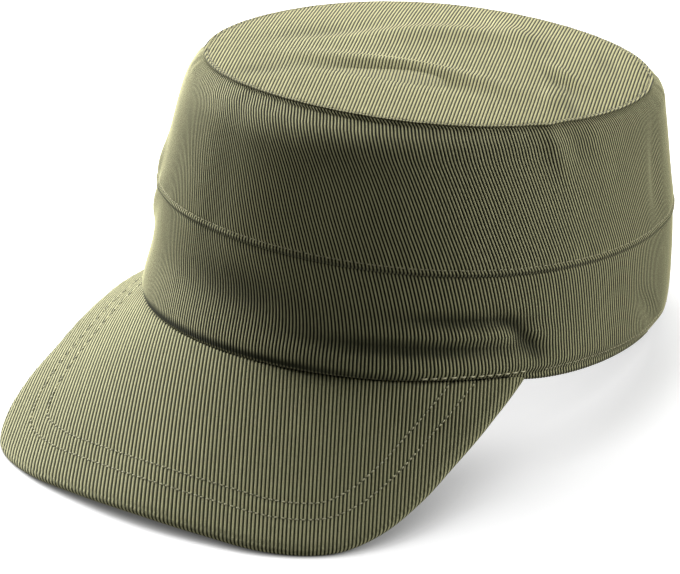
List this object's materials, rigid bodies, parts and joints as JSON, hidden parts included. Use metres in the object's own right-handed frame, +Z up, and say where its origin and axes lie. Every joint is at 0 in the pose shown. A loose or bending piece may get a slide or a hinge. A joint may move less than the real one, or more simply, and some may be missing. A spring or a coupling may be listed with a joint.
{
  "type": "cadet cap",
  "caption": "Flat-topped oval cap in ribbed twill, with a lower band, a seamed side wall, a slightly domed top and a stiff sloping stitched peak.",
  "frame": {"origin": "on the table the cap rests on, under the middle of the cap's whole box", "axes": "+Z up from the table, -Y the way the peak points, +X to the wearer's left as the cap faces -Y"},
  "size_m": [0.175, 0.2662, 0.1194],
  "materials": {
    "band_twill": "matte ribbed cotton twill, olive drab",
    "side_twill": "matte ribbed cotton twill, olive drab",
    "top_twill": "matte ribbed cotton twill, olive drab, a little paler on top",
    "peak_twill": "matte ribbed cotton twill over a stiff board, stitched in rows along its edge"
  },
  "bodies": {
    "root": {"band": "band_twill", "crown_side": "side_twill", "top_panel": "top_twill", "peak": "peak_twill"}
  },
  "joints": []
}
